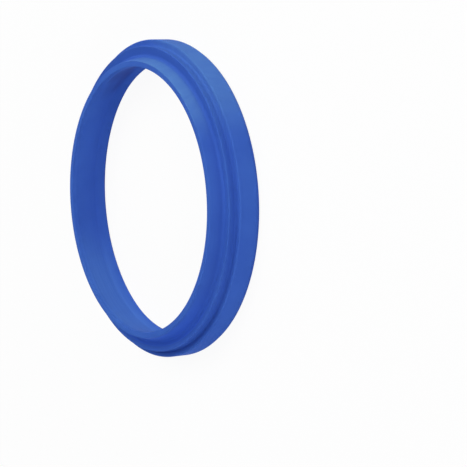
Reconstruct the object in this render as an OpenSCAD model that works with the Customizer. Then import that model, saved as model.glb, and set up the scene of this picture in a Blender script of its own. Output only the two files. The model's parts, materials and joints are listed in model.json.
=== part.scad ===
// Rod wiper seal: one ring of cast polyurethane that keeps dirt out of a cylinder.
// It lies on its rear face, with the axis on Z and the wiping lip on top. Sizes are in millimetres.

/* [Rod and groove] */
// Diameter of the rod that the lip wipes
rod_d = 60; // [20:1:120]
// Radial room between the rod and the bottom of the groove
section_w = 5; // [4.6:0.1:8]
// How far the free lip stands inside the rod's surface
lip_squeeze = 0.6; // [0.1:0.05:1]
// How far the free heel stands outside the groove's bottom
heel_press = 0.3; // [0:0.05:0.6]

/* [Heel] */
// Height of the heel, from the rear face to the step
heel_h = 5.1; // [4:0.1:9]
// Height of the lead-in at the rear outer edge
lead_h = 1; // [0.4:0.1:2]
// Radial depth of the lead-in
lead_w = 0.6; // [0.2:0.05:1.2]
// Rounding where the lead-in meets the heel's outer wall
lead_blend_r = 0.6; // [0:0.1:2]
// Rounding of the heel's front edge
heel_edge_r = 0.3; // [0:0.05:0.6]

/* [Neck and shoulder] */
// Height of the neck, from the step to the shoulder's rim
neck_h = 1.9; // [1.2:0.05:4]
// Radial depth of the step, from the heel's outer wall to the neck's root
step_w = 1.7; // [1:0.05:2.2]
// How far the shoulder's rim overhangs the neck's root
neck_undercut = 0.3; // [0:0.05:0.8]
// Hollow rounding at the neck's root
root_r = 0.5; // [0.1:0.05:0.9]
// Rounding of the shoulder's rim
rim_r = 0.2; // [0.1:0.05:0.5]

/* [Lip] */
// Height of the lip above the shoulder's rim
lip_h = 2.6; // [1.5:0.05:5]
// Radial width of the lip's trimmed front face
lip_w = 1.25; // [0.6:0.05:1.5]
// How far the front face falls back towards the rod
lip_trim = 0.05; // [0:0.05:0.6]
// Rounding of the lip's outer front edge
lip_edge_r = 0.15; // [0:0.05:0.3]
// Height of the straight land that touches the rod
land_h = 1; // [0.6:0.1:1.5]
// Depth of the valley between lip and shoulder, below the shoulder's rim
valley_depth = 0.5; // [0.2:0.05:1.5]
// Radial distance from the shoulder's rim to the foot of the valley
valley_w = 2.4; // [1.4:0.05:2.6]
// Hollow rounding at the foot of the valley
valley_r = 0.8; // [0.2:0.1:2]

/* [Bore] */
// Radial clearance of the rear bore round the rod
bore_clearance = 0.5; // [0.2:0.05:1]
// Height of the rear bore, up to the foot of the lip's inner cone
bore_h = 2.9; // [1.5:0.1:4]
// How far the inner cone opens beyond the rear bore at its foot
bore_relief = 0.25; // [0:0.05:0.5]
// Chamfer of the bore's rear edge
bore_chamfer = 0.4; // [0.1:0.05:0.6]
// Hollow rounding at the foot of the inner cone
bore_blend_r = 1.5; // [0:0.1:3]

/* [Hidden] */
// Facets round the ring
$fn = 180;
// Chords in each rounded corner
arc_steps = 8;
// Share of a straight edge that one rounding may use up
edge_share = 0.5;

lip_rad = rod_d / 2 - lip_squeeze;
bore_rad = rod_d / 2 + bore_clearance;
heel_rad = rod_d / 2 + section_w + heel_press;
root_rad = heel_rad - step_w;
rim_rad = root_rad + neck_undercut;
valley_rad = rim_rad - valley_w;
lip_edge_rad = lip_rad + lip_w;
rim_z = heel_h + neck_h;
valley_z = rim_z - valley_depth;
lip_z = rim_z + lip_h;
lip_tip_z = lip_z - lip_trim;
land_z = lip_tip_z - land_h;

// Corners of the half section, [radius, height, rounding], outwards from the rear face and back down the bore
section_corners = [
    [bore_rad + bore_chamfer, 0, 0],
    [heel_rad - lead_w, 0, 0],
    [heel_rad, lead_h, lead_blend_r],
    [heel_rad, heel_h, heel_edge_r],
    [root_rad, heel_h, root_r],
    [rim_rad, rim_z, rim_r],
    [valley_rad, valley_z, valley_r],
    [lip_edge_rad, lip_z, lip_edge_r],
    [lip_rad, lip_tip_z, 0],
    [lip_rad, land_z, 0],
    [bore_rad + bore_relief, bore_h, bore_blend_r],
    [bore_rad, bore_chamfer, 0],
];

function corner_point(i) = [section_corners[i].x, section_corners[i].y];
function unit(v) = v / norm(v);

// Points of the arc that rounds the corner between its two neighbours, kept within its share of each edge
function rounded_corner(before, corner, after, radius) =
    let (
        back = unit(before - corner),
        ahead = unit(after - corner),
        half = acos(back * ahead) / 2,
        room = edge_share * min(norm(before - corner), norm(after - corner)),
        reach = min(radius / tan(half), room),
        centre = corner + unit(back + ahead) * reach / cos(half),
        arm = corner + back * reach - centre,
        turn = 180 - 2 * half,
        side = sign(cross(back, ahead)),
        step = -side * turn / arc_steps
    )
    [for (i = [0 : arc_steps])
        centre + [arm.x * cos(i * step) - arm.y * sin(i * step), arm.x * sin(i * step) + arm.y * cos(i * step)]];

function section_outline() =
    let (count = len(section_corners))
    [for (i = [0 : count - 1])
        let (
            before = corner_point((i + count - 1) % count),
            corner = corner_point(i),
            after = corner_point((i + 1) % count),
            radius = section_corners[i].z
        )
        each radius > 0 ? rounded_corner(before, corner, after, radius) : [corner]];

// The whole ring: heel, step, neck, shoulder, valley, lip and bore in one revolved section
module wiper_seal() {
    color("royalblue")
    rotate_extrude()
    polygon(section_outline());
}

wiper_seal();
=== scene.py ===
"""Looks, light and camera for a rod wiper seal: one ring of blue cast polyurethane.

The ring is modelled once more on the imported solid's own sizes, with a smooth section and broken edges.
It is dressed in satin polyurethane and lies on a white table among soft lamps.
Lengths are in metres and angles in radians, unless a field says otherwise.
"""

import json
import logging
import math
from dataclasses import dataclass
from enum import Enum
from typing import Any, ClassVar

import bmesh
import bpy
import numpy as np
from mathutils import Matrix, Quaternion, Vector

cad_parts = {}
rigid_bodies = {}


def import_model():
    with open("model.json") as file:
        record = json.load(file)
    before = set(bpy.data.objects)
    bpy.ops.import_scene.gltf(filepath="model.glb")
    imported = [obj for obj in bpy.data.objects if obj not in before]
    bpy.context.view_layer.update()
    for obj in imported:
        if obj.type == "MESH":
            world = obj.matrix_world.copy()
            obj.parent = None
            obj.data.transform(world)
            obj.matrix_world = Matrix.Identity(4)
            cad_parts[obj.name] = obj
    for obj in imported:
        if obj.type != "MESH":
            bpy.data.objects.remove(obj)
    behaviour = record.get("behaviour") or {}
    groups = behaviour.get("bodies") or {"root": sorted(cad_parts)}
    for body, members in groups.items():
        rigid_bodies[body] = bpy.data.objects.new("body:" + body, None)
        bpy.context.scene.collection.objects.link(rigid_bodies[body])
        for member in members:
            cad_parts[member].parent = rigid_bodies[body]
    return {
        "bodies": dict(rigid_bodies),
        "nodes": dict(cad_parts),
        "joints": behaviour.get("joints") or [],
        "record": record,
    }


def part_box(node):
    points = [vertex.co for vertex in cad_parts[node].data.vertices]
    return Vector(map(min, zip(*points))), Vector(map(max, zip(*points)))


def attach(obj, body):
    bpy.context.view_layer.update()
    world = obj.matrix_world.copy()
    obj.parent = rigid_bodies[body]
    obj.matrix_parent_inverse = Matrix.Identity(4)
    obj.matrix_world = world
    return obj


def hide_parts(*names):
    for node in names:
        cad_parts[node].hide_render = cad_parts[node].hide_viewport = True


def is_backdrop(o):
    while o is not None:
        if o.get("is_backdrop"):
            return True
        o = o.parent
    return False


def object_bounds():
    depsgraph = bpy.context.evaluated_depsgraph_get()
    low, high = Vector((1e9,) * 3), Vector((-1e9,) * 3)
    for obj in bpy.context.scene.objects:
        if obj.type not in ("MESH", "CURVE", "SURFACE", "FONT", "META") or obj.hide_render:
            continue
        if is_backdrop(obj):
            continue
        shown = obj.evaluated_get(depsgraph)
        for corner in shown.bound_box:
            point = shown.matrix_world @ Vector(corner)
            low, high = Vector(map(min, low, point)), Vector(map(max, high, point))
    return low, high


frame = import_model()

MM = 0.001
NODE = "wiper_seal"
BODY = "root"
Colour = tuple[float, float, float]
Point = tuple[float, float, float]
Limits = tuple[float, float]

logging.basicConfig(level=logging.INFO, format="%(message)s")
log = logging.getLogger("wiper_seal")


class CornerForm(Enum):
    """How a corner of the ring's section is finished."""

    CREST = "an outer edge, rounded in the mould"
    TRIMMED = "an outer edge left by the trimming knife"
    HOLLOW = "an inner corner, filled by the mould's radius"


@dataclass(frozen=True)
class Corner:
    """One corner of the half section, in metres.

    Attributes:
        radius: Distance from the ring's axis.
        height: Height above the rear face.
        rounding: Radius of the fillet that replaces the corner.
        form: How the corner is finished.
    """

    radius: float
    height: float
    rounding: float
    form: CornerForm

    def point(self) -> Vector:
        """Gives the corner as a point of the section."""
        return Vector((self.radius, self.height))


@dataclass
class NodeBench:
    """Adds and joins the nodes of one material.

    Attributes:
        tree: The node tree that is being filled.
    """

    tree: bpy.types.NodeTree

    def add(self, kind: str, settings: dict[str, Any], **inputs: Any) -> bpy.types.Node:
        """Adds a node, sets it up and joins or fills its inputs.

        Args:
            kind: The node's type, such as ShaderNodeMath.
            settings: Properties of the node itself.
            inputs: Values or output sockets, by input name with _ for a space or by i and a number.

        Returns:
            The new node.
        """
        node = self.tree.nodes.new(kind)
        for name, value in settings.items():
            setattr(node, name, value)
        for name, value in inputs.items():
            numbered = name[0] == "i" and name[1:].isdigit()
            socket = node.inputs[int(name[1:])] if numbered else node.inputs[name.replace("_", " ")]
            if isinstance(value, bpy.types.NodeSocket):
                self.tree.links.new(value, socket)
            else:
                socket.default_value = value
        return node

    def math(self, operation: str, first: Any, second: Any = 0.0) -> bpy.types.NodeSocket:
        """Works out one number from two."""
        return self.add("ShaderNodeMath", {"operation": operation}, i0=first, i1=second).outputs[0]

    def vector(self, operation: str, first: Any, second: Any = (0, 0, 0)) -> bpy.types.Node:
        """Works out one vector from two."""
        return self.add("ShaderNodeVectorMath", {"operation": operation}, i0=first, i1=second)

    def remap(self, value: Any, low: float, high: float, to_low: float,
              to_high: float) -> bpy.types.NodeSocket:
        """Stretches a value from one range to another and clamps it there.

        Args:
            value: The number to stretch.
            low: The value that becomes to_low.
            high: The value that becomes to_high.
            to_low: The new range's start.
            to_high: The new range's end.

        Returns:
            The socket of the stretched value.
        """
        node = self.add("ShaderNodeMapRange", {"interpolation_type": "SMOOTHSTEP"},
                        i0=value, i1=low, i2=high, i3=to_low, i4=to_high)
        return node.outputs[0]

    def blend(self, share: Any, first: Any, second: Any) -> bpy.types.NodeSocket:
        """Mixes two colours by a share of the second.

        Args:
            share: How much of the second colour shows, from 0 to 1.
            first: The colour at 0.
            second: The colour at 1.

        Returns:
            The socket of the mixed colour.
        """
        node = self.add("ShaderNodeMix", {"data_type": "RGBA"}, i0=share, i6=first, i7=second)
        return node.outputs[2]

    def weigh(self, first: Any, weight: float, second: Any, other: float) -> bpy.types.NodeSocket:
        """Adds two numbers, each times its own weight.

        Args:
            first: The first number.
            weight: Its weight.
            second: The second number.
            other: The second number's weight.

        Returns:
            The socket of the sum.
        """
        return self.math("ADD", self.math("MULTIPLY", first, weight), self.math("MULTIPLY", second, other))


@dataclass(frozen=True)
class Contrast:
    """How a noise is stretched before it is used.

    Attributes:
        low: The noise that gives the least.
        high: The noise that gives the most.
        least: What the lowest noise gives.
        most: What the highest noise gives.
    """

    low: float
    high: float
    least: float
    most: float = 1.0

    def stretch(self, bench: NodeBench, noise: Any) -> bpy.types.NodeSocket:
        """Stretches a noise."""
        return bench.remap(noise, self.low, self.high, self.least, self.most)


@dataclass(frozen=True)
class SkinNoise:
    """An even noise in the moulded skin.

    Attributes:
        size: Size of its largest blotches.
        detail: How many finer layers are added.
        harshness: How strong each layer is beside the one before.
    """

    size: float
    detail: float
    harshness: float = 0.55

    def spread(self, bench: NodeBench, place: Any) -> bpy.types.NodeSocket:
        """Makes the noise.

        Args:
            bench: The material's nodes.
            place: The surface point.

        Returns:
            The socket of the noise.
        """
        noise = bench.add("ShaderNodeTexNoise", {}, Vector=place, Scale=1 / self.size,
                          Detail=self.detail, Roughness=self.harshness)
        return noise.outputs[0]


@dataclass(frozen=True)
class RingPoint:
    """A point of the ring's surface, as sockets of a material.

    Attributes:
        place: The point itself.
        radius: Its distance from the axis.
        way: Its unit direction from the axis.
        height: Its height above the rear face.
    """

    place: bpy.types.NodeSocket
    radius: bpy.types.NodeSocket
    way: bpy.types.NodeSocket
    height: bpy.types.NodeSocket

    @classmethod
    def read(cls, bench: NodeBench) -> "RingPoint":
        """Reads the shaded point.

        Args:
            bench: The material's nodes.

        Returns:
            The point's sockets.
        """
        place = bench.add("ShaderNodeTexCoord", {}).outputs["Object"]
        flat = bench.vector("MULTIPLY", place, (1, 1, 0)).outputs["Vector"]
        return cls(place=place,
                   radius=bench.vector("LENGTH", flat).outputs["Value"],
                   way=bench.vector("NORMALIZE", flat).outputs["Vector"],
                   height=bench.add("ShaderNodeSeparateXYZ", {}, Vector=place).outputs["Z"])


class PaintedLight(Enum):
    """Light or shade painted into the moulded skin's colour."""

    # Painted highlight: a paler, more cyan colour where the key lamp falls, broken up in smears
    PAINTED_HIGHLIGHT = "a pale, dry film with wiped smears"
    # Painted light: a paler colour on the bore wall that faces the key lamp, drawn out along the ring
    PAINTED_PALE_LIGHT = "a pale film, drawn out along the ring"
    # Painted light: a purer, brighter blue where the ring falls in shade away from the key lamp
    PAINTED_BLUE_LIGHT = "a clean skin of a purer blue"
    # Painted shadow: a darker colour in blotches where the bore is in shade
    PAINTED_SHADOW = "a dark, damp film in blotches"


@dataclass(frozen=True)
class PaintedPatch:
    """A stretch of the ring where light or shade is painted into the colour, bounded by turn, radius and
    height.

    Attributes:
        mark: Which light or shade is painted there.
        turn: Angle of the patch's middle round the axis, in degrees.
        reach: Angle from its middle to its ends, in degrees.
        radii: The radii between which it lies.
        heights: The heights between which it lies.
        strength: How strong the mark is at the middle.
        fade: Width of its faded border, up and down.
        edge: Width of its faded border, in and out.
    """

    mark: PaintedLight
    turn: float
    reach: float
    radii: Limits
    heights: Limits
    strength: float
    fade: float = 0.3 * MM
    edge: float = 0.1 * MM

    def share(self, bench: NodeBench, point: RingPoint) -> bpy.types.NodeSocket:
        """Works out how strongly the painted light or shade shows at a surface point.

        Args:
            bench: The material's nodes.
            point: The surface point.

        Returns:
            The socket of the mark's share.
        """
        turn = math.radians(self.turn)
        middle = (math.cos(turn), math.sin(turn), 0)
        nearness = bench.vector("DOT_PRODUCT", point.way, middle).outputs["Value"]
        along = bench.remap(nearness, math.cos(math.radians(self.reach)), 1, 0, self.strength)
        across = self._between(bench, point.radius, self.radii, self.edge)
        up = self._between(bench, point.height, self.heights, self.fade)
        return bench.math("MULTIPLY", along, bench.math("MULTIPLY", across, up))

    def _between(self, bench: NodeBench, value: Any, limits: Limits, fade: float) -> bpy.types.NodeSocket:
        """Tells how far a value lies inside two limits, with a faded border."""
        above = bench.remap(value, limits[0], limits[0] + fade, 0, 1)
        return bench.math("MULTIPLY", above, bench.remap(value, limits[1] - fade, limits[1], 1, 0))


@dataclass(frozen=True)
class CastPolyurethane:
    """The ring's finish: satin blue polyurethane, cast in a mould and trimmed at the lip, with light and
    shade painted into patches of its colour.

    Attributes:
        deep: Colour of the clear, dense stretches.
        pale: Colour where the surface is slightly bloomed.
        wear_and_highlight: Colour along the outer edges, paler for edge wear and for a painted highlight
            there.
        highlight_paint: Colour of the painted highlight, paler and more cyan, on the side that faces the
            key lamp.
        pale_light_paint: Colour of the painted light, paler, on the bore wall that faces the key lamp.
        clear: Colour of the painted light: a purer, brighter blue where the ring falls in shade away from
            the key lamp.
        shadow_paint: Colour of the painted shadow in the bore.
        roughness: Middle roughness of the satin skin.
        mottle_dull: How much the mottle changes the roughness.
        grain_dull: How much the grain changes the roughness.
        ior: Refractive index of the polyurethane.
        gloss: Level of its mirror reflection.
        mottle: The paler patches.
        grain: The skin's fine grain.
        smears: The smears that break up the painted highlight.
        smear_turn: How the smears are slanted, in radians.
        smear_squeeze: How much finer they are each way, so that they look drawn out.
        blotches: The blotches that break up the painted shadow.
        line_pitch: Distance between the fine lines that run round the ring.
        line_lap: How quickly those lines change along the ring.
        line_detail: How many finer layers the lines have.
        line_harshness: How strong each of those layers is beside the one before.
        line_share: The lines' part in the clouding, beside the mottle.
        relief: Depth of lines and grain.
        relief_strength: How far that depth shows.
        line_relief: The lines' part in the relief, beside the grain.
        clouding: Contrast between the deep and the pale colour.
        rubbing_and_highlight: Contrast of the paler outer edges, partly wear and partly painted highlight.
        smearing: Contrast of the smears.
        blotching: Contrast of the blotches.
        streaking: Contrast of the streaks in the painted pale light and the painted blue light.
        patches: Where light and shade are painted into the colour.
    """

    deep: Colour = (0.04, 0.112, 0.48)
    pale: Colour = (0.045, 0.121, 0.5)
    # Paler colour along the outer edges: edge wear and a painted highlight
    wear_and_highlight: Colour = (0.052, 0.143, 0.53)
    # Colour of the painted highlight
    highlight_paint: Colour = (0.09, 0.22, 0.54)
    # Colour of the painted light in the bore
    pale_light_paint: Colour = (0.085, 0.215, 0.6)
    # Colour of the painted light, a brighter blue, on the side away from the key lamp
    clear: Colour = (0.044, 0.13, 0.62)
    # Colour of the painted shadow in the bore
    shadow_paint: Colour = (0.03, 0.064, 0.3)
    roughness: float = 0.62
    mottle_dull: float = 0.14
    grain_dull: float = 0.08
    ior: float = 1.5
    gloss: float = 0.02
    mottle: SkinNoise = SkinNoise(9 * MM, 4.0)
    grain: SkinNoise = SkinNoise(0.2 * MM, 2.0)
    smears: SkinNoise = SkinNoise(4 * MM, 3.0)
    smear_turn: Point = (0.6, 0.4, 0.2)
    smear_squeeze: Point = (1.0, 3.0, 1.0)
    blotches: SkinNoise = SkinNoise(5 * MM, 0.0)
    line_pitch: float = 0.4 * MM
    line_lap: float = 3.0
    line_detail: float = 3.0
    line_harshness: float = 0.6
    line_share: float = 0.4
    relief: float = 0.02 * MM
    relief_strength: float = 0.5
    line_relief: float = 0.6
    clouding: Contrast = Contrast(0.3, 0.7, 0.0)
    rubbing_and_highlight: Contrast = Contrast(0.35, 0.65, 0.35, 0.8)
    smearing: Contrast = Contrast(0.28, 0.68, 0.78)
    blotching: Contrast = Contrast(0.3, 0.7, 0.7)
    streaking: Contrast = Contrast(0.35, 0.65, 0.75)
    patches: tuple[PaintedPatch, ...] = (
        # Painted light, a purer blue, on the lip's outer cone where it falls in shade on the side away
        # from the key lamp
        PaintedPatch(PaintedLight.PAINTED_BLUE_LIGHT, -174, 52, (30.6 * MM, 32.8 * MM), (6.0 * MM, 9.5 * MM), 1.0, 0.6 * MM),
        # Painted highlight on the side that faces the key lamp: on the lip's outer cone, the heel's wall,
        # and the step and neck
        PaintedPatch(PaintedLight.PAINTED_HIGHLIGHT, -31, 39, (30.5 * MM, 32.4 * MM), (6.6 * MM, 10.6 * MM), 0.95, 1.0 * MM),
        PaintedPatch(PaintedLight.PAINTED_HIGHLIGHT, -36, 36, (34.8 * MM, 35.8 * MM), (-1.0 * MM, 6.0 * MM), 0.7),
        PaintedPatch(PaintedLight.PAINTED_HIGHLIGHT, -36, 38, (33.2 * MM, 34.9 * MM), (4.6 * MM, 6.9 * MM), 0.45),
        # Painted light on the bore wall that faces the key lamp
        PaintedPatch(PaintedLight.PAINTED_PALE_LIGHT, 143, 44, (29.0 * MM, 31.4 * MM), (0.0 * MM, 10.5 * MM), 0.65, 3.0 * MM),
        # Painted shadow in the bore, where it faces away from the key lamp, at the inner cone's foot and
        # under the lip: a wide, faint one with two stronger spots in it
        PaintedPatch(PaintedLight.PAINTED_SHADOW, 21, 20, (29.3 * MM, 31.0 * MM), (1.8 * MM, 7.8 * MM), 0.4, 2.0 * MM),
        PaintedPatch(PaintedLight.PAINTED_SHADOW, 17, 11, (29.5 * MM, 31.0 * MM), (2.6 * MM, 9.6 * MM), 0.6, 2.0 * MM),
        PaintedPatch(PaintedLight.PAINTED_SHADOW, 26, 11, (29.3 * MM, 31.0 * MM), (1.8 * MM, 5.2 * MM), 0.8, 1.6 * MM),
    )

    def material(self) -> bpy.types.Material:
        """Builds the material.

        Returns:
            The finished material.
        """
        material = bpy.data.materials.new("cast_polyurethane")
        material.use_nodes = True
        bench = NodeBench(material.node_tree)
        shader = material.node_tree.nodes["Principled BSDF"]
        point = RingPoint.read(bench)
        lines = self._lines(bench, point)
        mottle = self.mottle.spread(bench, point.place)
        grain = self.grain.spread(bench, point.place)
        cloud = bench.weigh(mottle, 1 - self.line_share, lines, self.line_share)
        body = bench.blend(self.clouding.stretch(bench, cloud), (*self.deep, 1), (*self.pale, 1))
        crest = bench.add("ShaderNodeAttribute", {"attribute_name": WiperRing.CREST}).outputs["Fac"]
        # The outer edges turn paler: edge wear and a painted highlight along them
        rubbed_and_lit = bench.math("MULTIPLY", crest, self.rubbing_and_highlight.stretch(bench, mottle))
        colour = self._paint_light_and_shade(bench, point, lines, bench.blend(rubbed_and_lit, body, (*self.wear_and_highlight, 1)))
        dull = bench.weigh(mottle, self.mottle_dull, grain, self.grain_dull)
        rough = bench.math("ADD", dull, self.roughness - (self.mottle_dull + self.grain_dull) / 2)
        height = bench.weigh(lines, self.line_relief, grain, 1 - self.line_relief)
        bump = bench.add("ShaderNodeBump", {}, Height=height,
                         Strength=self.relief_strength, Distance=self.relief)
        tree = material.node_tree
        tree.links.new(colour, shader.inputs["Base Color"])
        tree.links.new(rough, shader.inputs["Roughness"])
        tree.links.new(bump.outputs["Normal"], shader.inputs["Normal"])
        shader.inputs["IOR"].default_value = self.ior
        shader.inputs["Specular IOR Level"].default_value = self.gloss
        return material

    def _paint_light_and_shade(self, bench: NodeBench, point: RingPoint, lines: Any, colour: Any) -> bpy.types.NodeSocket:
        """Paints light and shade into the skin's colour in patches, each broken up in its own way.

        Args:
            bench: The material's nodes.
            point: The surface point.
            lines: The fine lines round the ring.
            colour: The bare skin's colour.

        Returns:
            The socket of the colour with light and shade painted in.
        """
        slant = bench.add("ShaderNodeMapping", {}, Vector=point.place,
                          Rotation=self.smear_turn, Scale=self.smear_squeeze).outputs[0]
        smears = self.smearing.stretch(bench, self.smears.spread(bench, slant))
        blotches = self.blotching.stretch(bench, self.blotches.spread(bench, point.place))
        streaks = self.streaking.stretch(bench, lines)
        paints = {
            PaintedLight.PAINTED_HIGHLIGHT: (self.highlight_paint, smears),
            PaintedLight.PAINTED_PALE_LIGHT: (self.pale_light_paint, streaks),
            PaintedLight.PAINTED_BLUE_LIGHT: (self.clear, streaks),
            PaintedLight.PAINTED_SHADOW: (self.shadow_paint, blotches),
        }
        # Each patch paints light or shade into the colour
        for patch in self.patches:
            painting, pattern = paints[patch.mark]
            share = bench.math("MULTIPLY", patch.share(bench, point), pattern)
            colour = bench.blend(share, colour, (*painting, 1))
        return colour

    def _lines(self, bench: NodeBench, point: RingPoint) -> bpy.types.NodeSocket:
        """Makes fine lines that run round the ring and fade in and out along it.

        Args:
            bench: The material's nodes.
            point: The surface point.

        Returns:
            The socket of the lines' strength.
        """
        lap = bench.vector("MULTIPLY", point.way, (self.line_lap, self.line_lap, 0)).outputs["Vector"]
        rise = bench.vector("MULTIPLY", point.place, (0, 0, 1 / self.line_pitch)).outputs["Vector"]
        wound = bench.vector("ADD", lap, rise).outputs["Vector"]
        outward = bench.math("MULTIPLY", point.radius, 1 / self.line_pitch)
        noise = bench.add("ShaderNodeTexNoise", {"noise_dimensions": "4D"}, Vector=wound, W=outward,
                          Scale=1.0, Detail=self.line_detail, Roughness=self.line_harshness)
        return noise.outputs[0]


@dataclass
class WiperRing:
    """The whole seal: heel, step, neck, shoulder, valley, lip and bore in one turned section.

    Attributes:
        heel_rad: Outer radius of the heel.
        lip_rad: Radius of the lip's land.
        height: Height of the lip's highest edge.
        heel_h: Height of the heel, from the rear face to the step.
        lead_h: Height of the lead-in at the rear outer edge.
        lead_w: Radial depth of the lead-in.
        lead_blend_r: Rounding where the lead-in meets the heel's outer wall.
        heel_edge_r: Rounding of the heel's front edge.
        neck_h: Height of the neck, from the step to the shoulder's rim.
        step_w: Radial depth of the step.
        neck_undercut: How far the shoulder's rim overhangs the neck's root.
        root_r: Hollow rounding at the neck's root.
        rim_r: Rounding of the shoulder's rim.
        lip_w: Radial width of the lip's front face.
        lip_trim: How far the front face falls back towards the rod.
        lip_edge_r: Rounding of the lip's outer front edge.
        land_h: Height of the straight land that touches the rod.
        valley_depth: Depth of the valley below the shoulder's rim.
        valley_w: Radial distance from the rim to the valley's foot.
        valley_r: Hollow rounding at the valley's foot.
        bore_step: How far the rear bore stands back from the land.
        bore_h: Height of the rear bore.
        bore_relief: How far the inner cone opens beyond the rear bore.
        bore_chamfer: Chamfer of the bore's rear edge.
        bore_blend_r: Hollow rounding at the inner cone's foot.
        broken_edge_r: Rounding of an edge that is only broken.
        facets: Edges round the ring.
        arc_steps: Faces across each rounding.
        edge_share: Share of a straight edge that one rounding may use up.
        crest_reach: How far the edge wear and painted edge highlight spread from an outer edge.
        smooth_angle: Bend up to which faces are shaded as one.
    """

    heel_rad: float
    lip_rad: float
    height: float
    heel_h: float = 5.1 * MM
    lead_h: float = 1.0 * MM
    lead_w: float = 0.6 * MM
    lead_blend_r: float = 0.6 * MM
    heel_edge_r: float = 0.3 * MM
    neck_h: float = 1.9 * MM
    step_w: float = 1.7 * MM
    neck_undercut: float = 0.3 * MM
    root_r: float = 0.5 * MM
    rim_r: float = 0.2 * MM
    lip_w: float = 1.25 * MM
    lip_trim: float = 0.05 * MM
    lip_edge_r: float = 0.15 * MM
    land_h: float = 1.0 * MM
    valley_depth: float = 0.5 * MM
    valley_w: float = 2.4 * MM
    valley_r: float = 0.8 * MM
    bore_step: float = 1.1 * MM
    bore_h: float = 2.9 * MM
    bore_relief: float = 0.25 * MM
    bore_chamfer: float = 0.4 * MM
    bore_blend_r: float = 1.5 * MM
    broken_edge_r: float = 0.06 * MM
    facets: int = 360
    arc_steps: int = 8
    edge_share: float = 0.48
    crest_reach: float = 0.22 * MM
    smooth_angle: float = math.radians(40)

    # Name of the attribute that says how near a point lies to an outer edge
    CREST: ClassVar[str] = "crest"
    # A point this near to a corner belongs to the corner's loop
    NEAR: ClassVar[float] = 0.002 * MM
    # Points nearer than this to each other are merged
    MERGE: ClassVar[float] = 0.001 * MM
    # The bevel profile that is a round arc
    ROUND: ClassVar[float] = 0.5
    # Distance from a square corner to its fillet, per unit of the fillet's radius
    FILLET_GAP: ClassVar[float] = math.sqrt(2) - 1

    @classmethod
    def from_frame(cls, packed: dict[str, Any]) -> "WiperRing":
        """Takes the ring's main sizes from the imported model.


        Returns:
            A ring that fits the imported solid.
        """
        radii = {m["name"]: m["dims"].get("r_mm") for m in packed["record"]["mounts"]}
        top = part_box(NODE)[1]
        return cls(heel_rad=radii["groove_seat"] * MM, lip_rad=radii["rod_bore"] * MM, height=top.z)

    def corners(self) -> list[Corner]:
        """Lists the section's corners, outwards from the rear face and back down the bore.

        Returns:
            The corners in order.
        """
        bore_rad = self.lip_rad + self.bore_step
        root_rad = self.heel_rad - self.step_w
        rim_rad = root_rad + self.neck_undercut
        rim_z = self.heel_h + self.neck_h
        tip_z = self.height - self.lip_trim
        broken = self.broken_edge_r
        crest, trimmed, hollow = CornerForm.CREST, CornerForm.TRIMMED, CornerForm.HOLLOW
        return [
            Corner(bore_rad + self.bore_chamfer, 0, broken, trimmed),
            Corner(self.heel_rad - self.lead_w, 0, broken, trimmed),
            Corner(self.heel_rad, self.lead_h, self.lead_blend_r, crest),
            Corner(self.heel_rad, self.heel_h, self.heel_edge_r, crest),
            Corner(root_rad, self.heel_h, self.root_r, hollow),
            Corner(rim_rad, rim_z, self.rim_r, crest),
            Corner(rim_rad - self.valley_w, rim_z - self.valley_depth, self.valley_r, hollow),
            Corner(self.lip_rad + self.lip_w, self.height, self.lip_edge_r, crest),
            Corner(self.lip_rad, tip_z, broken, trimmed),
            Corner(self.lip_rad, tip_z - self.land_h, broken, trimmed),
            Corner(bore_rad + self.bore_relief, self.bore_h, self.bore_blend_r, hollow),
            Corner(bore_rad, self.bore_chamfer, broken, trimmed),
        ]

    def build(self) -> bpy.types.Object:
        """Models the ring and hands it to the frame.

        Returns:
            The finished piece.
        """
        bpy.ops.object.select_all(action="DESELECT")
        corners = self.corners()
        ring = self._trace(corners)
        for index in range(len(corners)):
            self._round(ring, corners, index)
        self._close()
        self._mark_crests(ring, corners)
        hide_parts(NODE)
        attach(ring, BODY)
        return ring

    def _trace(self, corners: list[Corner]) -> bpy.types.Object:
        """Extrudes one circle from corner to corner and bridges the last loop to the first.

        Args:
            corners: The section's corners.

        Returns:
            The ring with sharp corners, left in edit mode.
        """
        start = corners[0]
        bpy.ops.mesh.primitive_circle_add(vertices=self.facets, radius=start.radius, fill_type="NOTHING",
                                          location=(0, 0, start.height))
        ring = bpy.context.object
        ring.name = ring.data.name = "polyurethane_ring"
        bpy.ops.object.transform_apply(location=True)
        bpy.ops.object.mode_set(mode="EDIT")
        for before, corner in zip(corners, corners[1:]):
            spread = corner.radius / before.radius
            rise = (0, 0, corner.height - before.height)
            bpy.ops.mesh.extrude_edges_move(TRANSFORM_OT_translate={"value": rise})
            bpy.ops.transform.resize(value=(spread, spread, 1), center_override=(0, 0, corner.height))
        self._select_loop(ring, [corners[0], corners[-1]])
        bpy.ops.mesh.bridge_edge_loops()
        return ring

    def _select_loop(self, ring: bpy.types.Object, corners: list[Corner]) -> None:
        """Selects the edges that run round the ring at the given corners.

        Args:
            ring: The ring, in edit mode.
            corners: The corners whose edges are wanted.
        """
        mesh = bmesh.from_edit_mesh(ring.data)
        bpy.ops.mesh.select_all(action="DESELECT")
        bpy.ops.mesh.select_mode(type="EDGE")
        for edge in mesh.edges:
            ends = [Vector((v.co.xy.length, v.co.z)) for v in edge.verts]
            edge.select = any(all((end - c.point()).length < self.NEAR for end in ends) for c in corners)
        mesh.select_flush_mode()
        bmesh.update_edit_mesh(ring.data)

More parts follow.
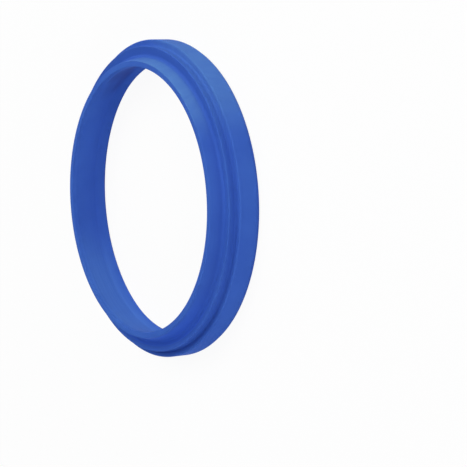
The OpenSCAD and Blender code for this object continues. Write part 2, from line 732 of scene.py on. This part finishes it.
    def _reach(self, corners: list[Corner], index: int) -> float:
        """Works out how far a corner's fillet reaches along its two edges.

        Args:
            corners: The section's corners.
            index: Which corner is rounded.

        Returns:
            The fillet's reach, limited to its share of the shorter edge.
        """
        here = corners[index].point()
        back = corners[index - 1].point() - here
        ahead = corners[(index + 1) % len(corners)].point() - here
        reach = corners[index].rounding / math.tan(back.angle(ahead) / 2)
        return min(reach, self.edge_share * min(back.length, ahead.length))

    def _round(self, ring: bpy.types.Object, corners: list[Corner], index: int) -> None:
        """Bevels one corner's loop to its fillet.

        Args:
            ring: The ring, in edit mode.
            corners: The section's corners.
            index: Which corner is rounded.
        """
        self._select_loop(ring, [corners[index]])
        bpy.ops.mesh.bevel(offset=self._reach(corners, index), segments=self.arc_steps, profile=self.ROUND,
                           affect="EDGES", clamp_overlap=False)

    def _close(self) -> None:
        """Merges doubles, turns the faces outwards, leaves edit mode and shades the fillets smooth."""
        bpy.ops.mesh.select_all(action="SELECT")
        bpy.ops.mesh.remove_doubles(threshold=self.MERGE)
        bpy.ops.mesh.normals_make_consistent(inside=False)
        bpy.ops.object.mode_set(mode="OBJECT")
        bpy.ops.object.shade_smooth_by_angle(angle=self.smooth_angle)

    def _mark_crests(self, ring: bpy.types.Object, corners: list[Corner]) -> None:
        """Writes how near each point lies to an outer edge, for the paler edge colour of wear and painted
        highlight.

        Args:
            ring: The finished ring.
            corners: The section's corners.
        """
        points = np.array([(v.co.xy.length, v.co.z) for v in ring.data.vertices])
        nearness = np.zeros(len(points))
        for corner in corners:
            if corner.form is not CornerForm.HOLLOW:
                away = np.linalg.norm(points - np.array(corner.point()), axis=1)
                reach = self.crest_reach + corner.rounding * self.FILLET_GAP
                nearness = np.maximum(nearness, np.exp(-(away / reach) ** 2))
        attribute = ring.data.attributes.new(self.CREST, "FLOAT", "POINT")
        attribute.data.foreach_set("value", nearness.astype(np.float32))

    def dress(self, ring: bpy.types.Object, finish: CastPolyurethane) -> None:
        """Gives the ring its finish."""
        ring.data.materials.clear()
        ring.data.materials.append(finish.material())


@dataclass(frozen=True)
class Softbox:
    """One soft rectangular lamp that faces the ring.

    Attributes:
        name: The lamp's name.
        place: Where it hangs.
        width: Its side across.
        depth: Its other side.
        watts: Its power.
        tint: The colour of its light.
    """

    name: str
    place: Point
    width: float
    depth: float
    watts: float
    tint: Colour = (1.0, 1.0, 1.0)

    def hang(self, target: Vector) -> bpy.types.Object:
        """Hangs the lamp so that it faces a point.

        Args:
            target: The point that it faces.

        Returns:
            The lamp.
        """
        lamp = bpy.data.lights.new(self.name, "AREA")
        lamp.shape = "RECTANGLE"
        lamp.size = self.width
        lamp.size_y = self.depth
        lamp.energy = self.watts
        lamp.color = self.tint
        holder = bpy.data.objects.new(self.name, lamp)
        bpy.context.scene.collection.objects.link(holder)
        holder.location = self.place
        holder.rotation_mode = "QUATERNION"
        holder.rotation_quaternion = (target - holder.location).to_track_quat("-Z", "Y")
        return holder


@dataclass(frozen=True)
class Studio:
    """A white table, a dim room and the soft lamps.

    Attributes:
        table_size: Side of the square table.
        table_tone: How white the table's paint is.
        table_glow: Share of plain white in the table's look, so that it stays white behind the ring.
        room_light: Light that comes from all round.
        room_tint: The colour of that light.
        lamps: The soft lamps.
    """

    table_size: float = 3.0
    table_tone: float = 0.9
    table_glow: float = 0.94
    room_light: float = 0.02
    room_tint: Colour = (0.75, 0.87, 1.0)
    lamps: tuple[Softbox, ...] = (
        Softbox("key", (0.35, 0.0, 0.61), 0.5, 0.5, 3.2, (1.0, 1.0, 0.98)),
        Softbox("low", (0.61, 0.0, 0.35), 0.5, 0.4, 0.5, (1.0, 1.0, 0.94)),
        Softbox("side", (0.33, -0.57, 0.24), 0.5, 0.25, 1.7, (0.96, 0.93, 1.0)),
        Softbox("front", (-0.5, -0.42, 0.24), 0.6, 0.25, 1.35, (1.0, 0.95, 1.0)),
        Softbox("left", (-0.66, 0.0, 0.24), 0.4, 0.25, 1.15, (0.8, 0.88, 1.0)),
        Softbox("back", (0.29, 0.5, 0.4), 0.4, 0.4, 0.7, (0.85, 0.92, 1.0)),
    )

    def lay_table(self) -> bpy.types.Object:
        """Lays the table that the ring lies on.

        Returns:
            The table.
        """
        bpy.ops.object.select_all(action="DESELECT")
        bpy.ops.mesh.primitive_plane_add(size=self.table_size)
        table = bpy.context.object
        table.name = table.data.name = "white_table"
        table.data.materials.append(self._table_paint())
        table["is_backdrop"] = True
        return table

    def _table_paint(self) -> bpy.types.Material:
        """Makes the table's paint, which the camera sees as nearly plain white.

        Returns:
            The finished material.
        """
        material = bpy.data.materials.new("white_table")
        material.use_nodes = True
        tree = material.node_tree
        tree.nodes.remove(tree.nodes["Principled BSDF"])
        bench = NodeBench(tree)
        tone = (self.table_tone, self.table_tone, self.table_tone, 1)
        paint = bench.add("ShaderNodeBsdfDiffuse", {}, Color=tone).outputs[0]
        white = bench.add("ShaderNodeEmission", {}, Color=(1, 1, 1, 1), Strength=1.0).outputs[0]
        share = bench.math("MULTIPLY", self._seen_directly(bench), self.table_glow)
        look = bench.add("ShaderNodeMixShader", {}, i0=share, i1=paint, i2=white).outputs[0]
        tree.links.new(look, tree.nodes["Material Output"].inputs["Surface"])
        return material

    def light_room(self) -> None:
        """Sets the light that comes from all round, and shows white to the camera."""
        world = bpy.data.worlds.new("white_room")
        bpy.context.scene.world = world
        world.use_nodes = True
        tree = world.node_tree
        bench = NodeBench(tree)
        seen = self._seen_directly(bench)
        strength = bench.add("ShaderNodeMapRange", {}, i0=seen, i3=self.room_light, i4=1.0).outputs[0]
        background = tree.nodes["Background"]
        tree.links.new(bench.blend(seen, (*self.room_tint, 1), (1, 1, 1, 1)), background.inputs["Color"])
        tree.links.new(strength, background.inputs["Strength"])

    def _seen_directly(self, bench: NodeBench) -> bpy.types.NodeSocket:
        """Tells camera, mirror and glass rays from the light that falls on things.

        Args:
            bench: The nodes to add to.

        Returns:
            The socket that is 1 for those rays and 0 for others.
        """
        path = bench.add("ShaderNodeLightPath", {}).outputs
        direct = bench.math("MAXIMUM", path["Is Camera Ray"], path["Is Glossy Ray"])
        return bench.math("MAXIMUM", direct, path["Is Transmission Ray"])

    def hang_lamps(self, target: Vector) -> list[bpy.types.Object]:
        """Hangs every lamp towards one point."""
        return [lamp.hang(target) for lamp in self.lamps]


@dataclass(frozen=True)
class PhotoCamera:
    """The camera at the photograph's place, rolled so that the ring's +X side is up in the picture.

    Attributes:
        place: Where the camera stands.
        aim: The point of the table at the picture's centre.
        roll: How far the picture's up side is turned from level.
        lens: Focal length on the sensor, in millimetres.
        sensor: Width of the sensor, in millimetres.
        nearest: Nearest distance that the camera sees.
    """

    place: Point = (5.284 * MM, -336.407 * MM, 203.268 * MM)
    aim: Point = (-8.032 * MM, -24.267 * MM, 0)
    roll: float = math.radians(94.473)
    lens: float = 135.12
    sensor: float = 36.0
    nearest: float = 10 * MM

    def stand(self) -> bpy.types.Object:
        """Puts the camera in its place and makes it the scene's camera.

        Returns:
            The camera.
        """
        data = bpy.data.cameras.new("photo_camera")
        data.lens = self.lens
        data.sensor_width = self.sensor
        data.clip_start = self.nearest
        camera = bpy.data.objects.new("photo_camera", data)
        bpy.context.scene.collection.objects.link(camera)
        camera.location = self.place
        camera.rotation_mode = "QUATERNION"
        level = (Vector(self.aim) - Vector(self.place)).to_track_quat("-Z", "Y")
        camera.rotation_quaternion = level @ Quaternion((0, 0, 1), -self.roll)
        bpy.context.scene.camera = camera
        return camera


def main() -> None:
    """Builds the camera, the ring and the studio in order."""
    cad_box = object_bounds()
    bpy.context.scene.view_settings.view_transform = "Standard"
    camera = PhotoCamera().stand()
    log.info("camera: lens %.1f mm", camera.data.lens)
    wiper = WiperRing.from_frame(frame)
    ring = wiper.build()
    wiper.dress(ring, CastPolyurethane())
    log.info("%s: %d faces", ring.name, len(ring.data.polygons))
    studio = Studio()
    table = studio.lay_table()
    log.info("%s: %.1f m wide", table.name, table.dimensions.x)
    studio.light_room()
    middle = (cad_box[0] + cad_box[1]) / 2
    for lamp in studio.hang_lamps(middle):
        log.info("lamp %s: %.2f W", lamp.name, lamp.data.energy)


if __name__ == "__main__":
    main()
